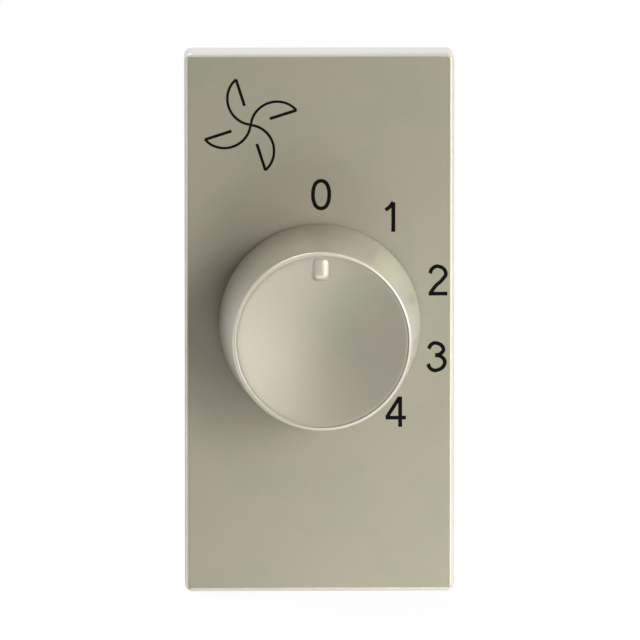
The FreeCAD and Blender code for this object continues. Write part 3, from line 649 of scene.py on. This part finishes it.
DISH_DEPTH = 0.56 * MM
DISH_ROUND = 4.4 * MM
DISH_STEPS = 18
FACE_SKIN = 1.4 * MM
SKIRT_SKIN = 1.2 * MM
SKIRT_RINGS = (0.06, 0.3, 0.55, 0.8, 0.93)
INNER_SKIRT_TAPER = 0.22
HUB_RADIUS = 4.4 * MM
HUB_BORE = 3.05 * MM
HUB_CHAMFER = 0.15 * MM
HUB_END = -5.0 * MM
HUB_SINK = 0.05 * MM
KNOB_RIBS = 6
KNOB_RIB_HALF = 0.4 * MM
KNOB_RIB_END = -8.0 * MM
KNOB_RIB_REACH = 6.9 * MM
POINTER_WIDTH = 1.68 * MM
POINTER_INNER = 4.94 * MM
POINTER_OUTER = 7.06 * MM
POINTER_MIDDLE = (POINTER_OUTER + POINTER_INNER) / 2
POINTER_HALF = (POINTER_OUTER - POINTER_INNER) / 2
POINTER_SINK = 0.02 * MM
POINTER_FOOT = 0.5 * MM
POINTER_CORNER = 0.5 * MM
POINTER_EDGE = 0.62 * MM
POINTER_ROUND = 0.42 * MM
POINTER_TOP_LEFT = -0.42 * MM
POINTER_SIDE = -0.04 * MM
POINTER_STEPS = 9
POINTER_HIGHLIGHT_REACH = 0.08 * MM
HOLLOW_FROM = 1.2 * MM
HOLLOW_WALL = 0.3 * MM


def from_axis(right, up):
    """How far a point is from the knob's axis."""
    return (right * right + up * up).math("SQRT")


def knob_rim_highlight(paint):
    """Painted highlight on the crown of the knob's rim, strongest at its top and top left and weakest at
    its bottom, and on top of the pointer.
    """
    right, back, up = paint.axes()
    ring = 1 - abs(from_axis(right, up) - KNOB_FACE_RADIUS + RIM_CROWN) / RIM_CROWN
    # The painted highlight is strongest at the top and top left and weakest at the bottom
    highlight_side = (0.7 + (up * 0.5 - right * 0.2) / KNOB_FACE_RADIUS).clamp()
    ring = (ring * 1.6).clamp() * back.below(KNOB_LOW.y + RIM_DROP) * (0.25 + highlight_side * 0.75)
    beside = abs(right).below(POINTER_WIDTH / 2)
    along = abs(up - POINTER_MIDDLE).below(POINTER_HALF)
    return ring.larger(beside * along * back.below(KNOB_LOW.y + POINTER_HIGHLIGHT_REACH) * 0.45)


def thin_in_knob(paint):
    """1 inside the hollow of the knob, 0 on its outside."""
    right, back, up = paint.axes()
    inside = from_axis(right, up).below(KNOB_FACE_RADIUS - HOLLOW_WALL)
    return inside * back.above(KNOB_LOW.y + HOLLOW_FROM)


def knob_shell():
    """Skirt, rim and dish as one turned piece, closed behind by the face's inner side."""
    front, back = KNOB_LOW.y, KNOB_HIGH.y
    tip = KNOB_FACE_RADIUS - RIM_OUTER_ROUND - RIM_FLAT
    rim_inner = tip - RIM_INNER_ROUND
    dish_start = rim_inner - SHOULDER_WIDTH
    face_middle = front + SHOULDER_DROP + DISH_DEPTH
    slope = DISH_DEPTH / (math.hypot(dish_start, DISH_ROUND) - DISH_ROUND)
    inside = face_middle + FACE_SKIN
    drop = back - front
    narrow = KNOB_BASE_RADIUS - KNOB_FACE_RADIUS
    profile = [
        (0, inside),
        (KNOB_FACE_RADIUS - SKIRT_SKIN + narrow * INNER_SKIRT_TAPER, inside),
        (KNOB_BASE_RADIUS - SKIRT_SKIN, back),
        (KNOB_BASE_RADIUS - KNOB_LIP, back),
    ]
    profile += arc((KNOB_BASE_RADIUS - KNOB_LIP, back - KNOB_LIP), KNOB_LIP, 90, 5, 5)[1:]
    profile += [(KNOB_BASE_RADIUS - narrow * share, back - drop * share) for share in SKIRT_RINGS]
    profile += arc(
        (KNOB_FACE_RADIUS - RIM_OUTER_ROUND, front + RIM_OUTER_ROUND), RIM_OUTER_ROUND, 5, -90, 12)
    profile += arc((tip, front + RIM_INNER_ROUND), RIM_INNER_ROUND, -90, -180, 5)
    profile.append((rim_inner, front + RIM_DROP - RIM_FLAT))
    profile += [(rim_inner - step, front + depth) for step, depth in SHOULDER]
    for i in range(DISH_STEPS + 1):
        radius = dish_start * (1 - i / DISH_STEPS)
        profile.append((radius, face_middle - slope * (math.hypot(radius, DISH_ROUND) - DISH_ROUND)))
    return turned("knob_shell", profile, 160)


def knob_pointer():
    """Raised pointer on the face: a small rounded pillow, free of the rim, highest at its left."""
    half = POINTER_WIDTH / 2
    foot = KNOB_LOW.y + POINTER_SINK + POINTER_ROUND
    tab = box_piece((-half, foot, -POINTER_HALF), (half, foot + POINTER_FOOT, POINTER_HALF))
    pick_edges(tab, lambda a, b: abs(a.y - b.y) > 0.1 * MM)
    bpy.ops.mesh.bevel(offset=POINTER_CORNER, segments=6, profile=0.5)
    pick(tab, "FACE", lambda face: face.normal.y < -0.9)
    inset, height = 0, 0
    for i in range(1, POINTER_STEPS + 1):
        turn = math.pi / 2 * i / POINTER_STEPS
        next_inset = POINTER_EDGE * (1 - math.cos(turn))
        next_height = POINTER_ROUND * math.sin(turn)
        across = (half - next_inset) / (half - inset)
        up = (POINTER_HALF - next_inset) / (POINTER_HALF - inset)
        bpy.ops.mesh.extrude_region_move(
            TRANSFORM_OT_translate={"value": (0, height - next_height, 0)})
        bpy.ops.transform.resize(value=(across, 1, up), center_override=(POINTER_TOP_LEFT, 0, 0))
        inset, height = next_inset, next_height
    select_all()
    bpy.ops.transform.translate(value=(POINTER_SIDE, 0, POINTER_MIDDLE))
    leave()
    return tab


def knob_inside():
    """Hub with its bore and the ribs that join it to the skirt."""
    inside = KNOB_LOW.y + SHOULDER_DROP + DISH_DEPTH + FACE_SKIN - HUB_SINK
    pieces = [turned("hub", [
        (HUB_BORE, inside), (HUB_RADIUS, inside), (HUB_RADIUS, HUB_END - HUB_CHAMFER),
        (HUB_RADIUS - HUB_CHAMFER, HUB_END), (HUB_BORE + HUB_CHAMFER, HUB_END),
        (HUB_BORE, HUB_END - HUB_CHAMFER), (HUB_BORE, inside)], 64)]
    for i in range(KNOB_RIBS):
        rib = box_piece(
            (-KNOB_RIB_HALF, inside, HUB_RADIUS - KNOB_RIB_HALF),
            (KNOB_RIB_HALF, KNOB_RIB_END, KNOB_RIB_REACH))
        rib.rotation_euler = (0, 2 * math.pi * i / KNOB_RIBS, 0)
        settle()
        pieces.append(rib)
    return pieces


def knob():
    piece = join("knob_dished", [knob_shell(), knob_pointer()] + knob_inside())
    smooth(piece, 40)
    level_normals(piece, EVEN_WEIGHT)
    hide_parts("knob")
    return piece


# Print on the cover: figures for the speeds and a four blade fan, in millimetres across and up

INK_THICK = 0.012 * MM
FIGURE_STROKE = 0.33 * MM
BLADE_STROKE = 0.225 * MM
BACK_EDGE_STROKE = BLADE_STROKE * 1.15
ZERO_CENTRE = (0.13, 10.74)
ZERO_HALF = (0.67, 1.15)
ZERO_SQUARENESS = (0.86, 0.94)
ZERO_POINTS = 12
FAN_CENTRE = (-5.69, 16.56)
FAN_LEAN = math.radians(-17.8)
BLADE_TIP = 3.98
BLADE_ROOT = 1.66
BLADE_ARC_CENTRE = (0.26, 2.2)
BLADE_STEPS = 8

FIGURES = {
    "one": [[(6.11, 10.08), (6.11, 7.62)], [(6.11, 10.12), (5.84, 9.74), (5.46, 9.43)]],
    "two": [
        [(9.15, 4.14), (9.33, 4.53), (9.85, 4.73), (10.46, 4.19), (10.18, 3.63), (9.64, 3.12),
         (9.19, 2.5)],
        [(9.05, 2.45), (10.6, 2.45)],
    ],
    "three": [
        [(9.05, -2.16), (9.26, -1.81), (9.67, -1.68), (10.27, -2.17), (10.04, -2.57), (9.6, -2.7)],
        [(9.6, -2.7), (10.09, -2.82), (10.39, -3.34), (9.7, -3.96), (9.19, -3.8), (9.0, -3.43)],
    ],
    "four": [
        [(6.69, -6.16), (6.69, -8.69)],
        [(6.66, -6.2), (5.57, -7.9)],
        [(5.48, -7.92), (7.17, -7.92)],
    ],
}


def stroke(points, width, closed=False, straight=False):
    """A line of ink through points on the plate."""
    deselect()
    bpy.ops.curve.primitive_bezier_curve_add(radius=MM, location=(0, 0, 0))
    line = bpy.context.object
    spline = line.data.splines[0]
    spline.bezier_points.add(len(points) - 2)
    for point, (across, up) in zip(spline.bezier_points, points):
        point.co = (across * MM, 0, up * MM)
        point.handle_left_type = point.handle_right_type = "VECTOR" if straight else "AUTO"
    spline.use_cyclic_u = closed
    line.data.bevel_depth = width / 2
    line.data.bevel_resolution = 3
    line.data.resolution_u = 14
    line.data.use_fill_caps = True
    bpy.ops.object.convert(target="MESH")
    edit()
    select_all()
    bpy.ops.mesh.remove_doubles(threshold=MERGE)
    bpy.ops.transform.resize(value=(1, INK_THICK / width, 1), center_override=(0, 0, 0))
    bpy.ops.transform.translate(value=(0, PLATE_Y, 0))
    leave()
    return line


def zero():
    """A figure 0: an ellipse whose sides are a little straighter."""
    def squared(wave, squareness):
        return math.copysign(abs(wave) ** squareness, wave)
    ring = []
    for i in range(ZERO_POINTS):
        turn = 2 * math.pi * i / ZERO_POINTS
        across = ZERO_HALF[0] * squared(math.sin(turn), ZERO_SQUARENESS[0])
        up = ZERO_HALF[1] * squared(math.cos(turn), ZERO_SQUARENESS[1])
        ring.append((ZERO_CENTRE[0] + across, ZERO_CENTRE[1] + up))
    return stroke(ring, FIGURE_STROKE, closed=True)


def fan_blade(quarter):
    """One blade of the fan: a straight back edge and a curved front edge from the hub."""
    def place(across, up):
        turn = math.radians(90 * quarter)
        return (
            FAN_CENTRE[0] + across * math.cos(turn) + up * math.sin(turn),
            FAN_CENTRE[1] - across * math.sin(turn) + up * math.cos(turn),
        )
    tip = (BLADE_TIP * math.sin(FAN_LEAN), BLADE_TIP * math.cos(FAN_LEAN))
    root = (BLADE_ROOT * math.sin(FAN_LEAN), BLADE_ROOT * math.cos(FAN_LEAN))
    middle_x, middle_z = BLADE_ARC_CENTRE
    start = math.atan2(-middle_z, -middle_x) % (2 * math.pi)
    end = math.atan2(tip[1] - middle_z, tip[0] - middle_x) % (2 * math.pi)
    first = math.hypot(middle_x, middle_z)
    last = math.hypot(tip[0] - middle_x, tip[1] - middle_z)
    front = []
    for i in range(BLADE_STEPS + 1):
        share = i / BLADE_STEPS
        turn = start + (end - start) * share
        radius = first + (last - first) * share
        front.append(place(middle_x + radius * math.cos(turn), middle_z + radius * math.sin(turn)))
    back = [place(*tip), place(*root)]
    return [stroke(front, BLADE_STROKE), stroke(back, BACK_EDGE_STROKE, straight=True)]


def printed_marks(material):
    marks = {"mark_zero": [zero()]}
    for name, strokes in FIGURES.items():
        marks["mark_" + name] = [
            stroke(points, FIGURE_STROKE, straight=len(points) == 2) for points in strokes]
    marks["mark_fan"] = [piece for quarter in range(4) for piece in fan_blade(quarter)]
    for name, pieces in marks.items():
        piece = join(name, pieces)
        smooth(piece, 60)
        put(piece, "switch_body", material)


# Hidden pieces keep the shape of the solids; some have their edges rounded

HOUSING_STEP = 1.85 * MM
HOUSING_SPLIT = 13.7 * MM
HOUSING_RUB = 0.3 * MM
FAR_IN_FRONT = -30 * MM
RED = (196, 40, 36)
GOLD = (206, 168, 70)
BROWN = (104, 62, 36)
BLACK = (24, 22, 22)
YELLOW = (206, 190, 40)

# Each colour band of a resistor: its place along the resistor in millimetres, and its colour
SURGE_BANDS = ((-2.6, RED), (-1.2, RED), (0.2, GOLD), (2.6, GOLD))
SURGE_HALF_BAND = 0.35 * MM
BLEED_BANDS = ((-1.7, BROWN), (-0.7, BLACK), (0.3, YELLOW), (1.8, GOLD))
BLEED_HALF_BAND = 0.25 * MM


def rubbed_housing(paint):
    """1 on the outer edges of the housing, whose top steps down behind its front part."""
    half_x, half_z = COVER_HIGH.x - COVER_SIDE_WALL, COVER_HIGH.z - COVER_END_WALL
    back_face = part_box("rear_housing")[1].y
    back = paint.axes()[1]
    low = (-half_x, FAR_IN_FRONT, -half_z)
    front = rubbed_box(low, (half_x, back_face, half_z), HOUSING_RUB)
    rear = rubbed_box(low, (half_x, back_face, half_z - HOUSING_STEP), HOUSING_RUB)
    return (front(paint) * back.below(HOUSING_SPLIT)).larger(rear(paint) * back.above(HOUSING_SPLIT))


def dressed(node, name, body, material, rounding=0.0):
    """A copy of a solid with its triangles merged, its sharp edges rounded when a rounding is given, and
    its own finish.
    """
    piece = bpy.data.objects.new(name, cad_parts[node].data.copy())
    bpy.context.collection.objects.link(piece)
    choose(piece)
    edit()
    select_all()
    bpy.ops.mesh.remove_doubles(threshold=SOLID_MERGE)
    bpy.ops.mesh.dissolve_limited(angle_limit=math.radians(2))
    leave()
    if rounding:
        soften(piece, rounding)
    smooth(piece, 30)
    level_normals(piece, FLAT_WEIGHT if rounding else EVEN_WEIGHT)
    put(piece, body, material)
    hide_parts(node)


def plastic_pieces():
    housing = moulded_plastic("housing_plastic", (224, 222, 214), (206, 203, 194), rubbed_housing)
    dressed("rear_housing", "housing_box", "switch_body", housing, 0.12 * MM)
    rotor_edges = rubbed_box(*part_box("rotor"), 0.4 * MM)
    rotor = moulded_plastic("rotor_plastic", (232, 230, 220), (216, 212, 200), rotor_edges, roughness=0.42)
    dressed("rotor", "rotor_star", "selector", rotor, 0.06 * MM)
    bush_edges = rubbed_box(*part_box("rotor_bearing"), 0.3 * MM)
    bush = moulded_plastic("bush_plastic", (44, 44, 46), (30, 30, 32), bush_edges, roughness=0.4)
    dressed("rotor_bearing", "bearing_bush", "switch_body", bush)


def metal_pieces():
    copper = stamped_metal("contact_copper", (222, 160, 118), (168, 108, 76))
    for node, body in (
            ("common_contact", "switch_body"), ("speed_contacts", "switch_body"),
            ("wiper_contact", "selector")):
        dressed(node, node + "_stamped", body, copper)
    steel = stamped_metal("spring_steel", (190, 190, 192), (140, 138, 136), (12, 1, 1))
    dressed("detent_spring", "detent_leaf", "switch_body", steel)
    dressed("knob_grip_spring", "grip_leaf", "selector", steel)
    brass = stamped_metal("terminal_brass", (216, 184, 112), (168, 136, 78))
    screw = stamped_metal("screw_steel", (206, 204, 196), (160, 156, 146), (1, 1, 1))
    dressed("board_screws", "board_screws_pair", "switch_body", screw)
    for side in ("supply", "fan"):
        dressed("terminal_cage_" + side, "cage_" + side, "switch_body", brass, 0.15 * MM)
        dressed("terminal_strip_" + side, "strip_" + side, "switch_body", brass)
        dressed("terminal_screw_" + side, "screw_" + side, "switch_body", screw, 0.08 * MM)


def board_pieces():
    dressed("circuit_board", "board", "switch_body", board_laminate("board_laminate"))
    case = resin_case("capacitor_case")
    for node in ("capacitor_large", "capacitor_small"):
        dressed(node, node + "_box", "switch_body", case)
    surge = banded_resistor("surge_resistor", (96, 140, 168), SURGE_BANDS, SURGE_HALF_BAND)
    bleed = banded_resistor("bleed_resistor", (206, 178, 130), BLEED_BANDS, BLEED_HALF_BAND)
    for kind, material in (("surge_resistor_", surge), ("bleed_resistor_", bleed)):
        for level in ("upper", "lower"):
            dressed(kind + level, kind + level + "_body", "switch_body", material)


# Camera, light and floor

CAMERA_AZIMUTH = math.radians(-1.12)
CAMERA_HEIGHT = math.radians(7.8)
CAMERA_DISTANCE = 0.93
PIXELS_PER_MM = 12.07
PICTURE_SIDE = 640
SENSOR = 36.0
AIM = Vector((0.04 * MM, PLATE_Y, 0.27 * MM))

# The room's light by direction: dark from in front, full from behind the plate, weaker from the left
ROOM_DARK_TO = -0.35
ROOM_FULL_FROM = 0.05
ROOM_LEFT = 0.6
ROOM_SEEN = 1.02

FLOOR_SIZE = 12
FLOOR_GAP = 0.02 * MM
FLOOR_GREY = (0.9, 0.9, 0.9, 1)
FLOOR_GLOW = 1.04
FLOOR_GLOW_SHARE = 0.9

# Each lamp: its name, its place, where it points, its two sides in metres, and its power in watts
LAMPS = (
    ("key low", (0.33, -0.56, -0.07), PLATE_CENTRE, (0.25, 0.22), 0.69),
    ("key high", (0.33, -0.56, 0.13), PLATE_CENTRE, (0.25, 0.22), 1.61),
    ("over", (0.2, -0.55, 0.42), PLATE_CENTRE, (0.4, 0.2), 0.34),
    ("under", (0.1, -0.55, -0.35), PLATE_CENTRE, (0.3, 0.15), 0.45),
    ("table", (0.025, -0.06, -0.035), (0.01, -0.05, 0.05), (0.08, 0.08), 0.0145),
    ("top", (-0.12, 0.1, 0.38), PLATE_CENTRE, (0.2, 0.1), 0.56),
    ("left strip", (-0.44, -0.11, -0.13), PLATE_CENTRE, (0.02, 0.3), 0.33),
    ("right strip", (0.48, 0, 0), PLATE_CENTRE, (0.03, 0.3), 0.12),
    ("low strip", (0, -0.143, -0.264), PLATE_CENTRE, (0.3, 0.04), 0.02),
    ("glint", (-0.15, -0.5, 0.2), PLATE_CENTRE, (0.018, 0.018), 0.07),
    ("left glint", (-0.28, -0.49, 0.09), PLATE_CENTRE, (0.014, 0.014), 0.1),
)


def facing(direction):
    """The turn that points a lamp or camera along a direction."""
    return direction.to_track_quat("-Z", "Y").to_euler()


def add_camera():
    back = Vector((
        math.sin(CAMERA_AZIMUTH) * math.cos(CAMERA_HEIGHT),
        -math.cos(CAMERA_AZIMUTH) * math.cos(CAMERA_HEIGHT),
        math.sin(CAMERA_HEIGHT),
    ))
    bpy.ops.object.camera_add(location=AIM + back * CAMERA_DISTANCE)
    camera = bpy.context.object
    camera.rotation_euler = facing(-back)
    camera.data.sensor_width = SENSOR
    camera.data.lens = PIXELS_PER_MM / MM * CAMERA_DISTANCE / PICTURE_SIDE * SENSOR
    camera.data.clip_start = 0.01
    camera.data.clip_end = 20
    bpy.context.scene.camera = camera


def add_lamp(name, place, target, size, power):
    deselect()
    bpy.ops.object.light_add(type="AREA", location=place)
    lamp = bpy.context.object
    lamp.name = name
    lamp.data.shape = "RECTANGLE"
    lamp.data.size, lamp.data.size_y = size
    lamp.data.energy = power
    lamp.visible_camera = False
    lamp.rotation_euler = facing(Vector(target) - Vector(place))


def add_room():
    """A room that is even white for the camera and lights the switch by direction."""
    world = bpy.data.worlds.new("studio")
    bpy.context.scene.world = world
    room = NodeTree(world, "Background")
    right, back = room.axes(room.node("ShaderNodeTexCoord", out="Generated"))[:2]
    behind = room.node("ShaderNodeMapRange", inputs={
        "Value": back, "From Min": ROOM_DARK_TO, "From Max": ROOM_FULL_FROM})
    from_left = room.node("ShaderNodeMapRange", inputs={
        "Value": right, "From Min": -1, "From Max": 0, "To Min": ROOM_LEFT})
    seen = room.node("ShaderNodeLightPath", out="Is Camera Ray")
    strength = room.node("ShaderNodeMix", {"data_type": "FLOAT"}, {
        "Factor": seen, "A": behind * from_left, "B": ROOM_SEEN})
    room.finish({"Color": WHITE, "Strength": strength})


def add_floor():
    """A white floor just under the switch, which is clear when seen from below."""
    deselect()
    bpy.ops.mesh.primitive_plane_add(size=FLOOR_SIZE, location=(0, 0, COVER_LOW.z - FLOOR_GAP))
    floor = bpy.context.object
    floor.name = "floor"
    floor.visible_shadow = False
    floor.visible_diffuse = False
    floor.visible_glossy = False
    paint = new_paint("floor_white")
    paint.finish({"Base Color": FLOOR_GREY, "Roughness": 0.9})
    surface = Value(paint, paint.last.outputs[0])
    glow = paint.node("ShaderNodeEmission", inputs={"Strength": FLOOR_GLOW})
    seen = paint.node("ShaderNodeLightPath", out="Is Camera Ray")
    white = paint.node("ShaderNodeMixShader", inputs=[seen * FLOOR_GLOW_SHARE, surface, glow])
    clear = paint.node("ShaderNodeBsdfTransparent")
    below = paint.node("ShaderNodeNewGeometry", out="Backfacing")
    one_sided = paint.node("ShaderNodeMixShader", inputs=[below, white, clear])
    paint.feed(paint.nodes["Material Output"].inputs["Surface"], one_sided)
    floor.data.materials.append(paint.owner)


def main():
    cover_paint = pearl_paint("cover_paint", (193, 185, 165), (181, 173, 152), cover_edge_highlight, grey_on_walls)
    put(front_cover(), "switch_body", cover_paint)
    knob_paint = pearl_paint("knob_paint", (202, 194, 175), (189, 181, 162), knob_rim_highlight, thin_in_knob)
    put(knob(), "selector", knob_paint)
    printed_marks(ink("print_ink"))
    plastic_pieces()
    metal_pieces()
    board_pieces()
    add_room()
    add_floor()
    for lamp in LAMPS:
        add_lamp(*lamp)
    add_camera()
    bpy.context.scene.view_settings.view_transform = "Standard"


main()
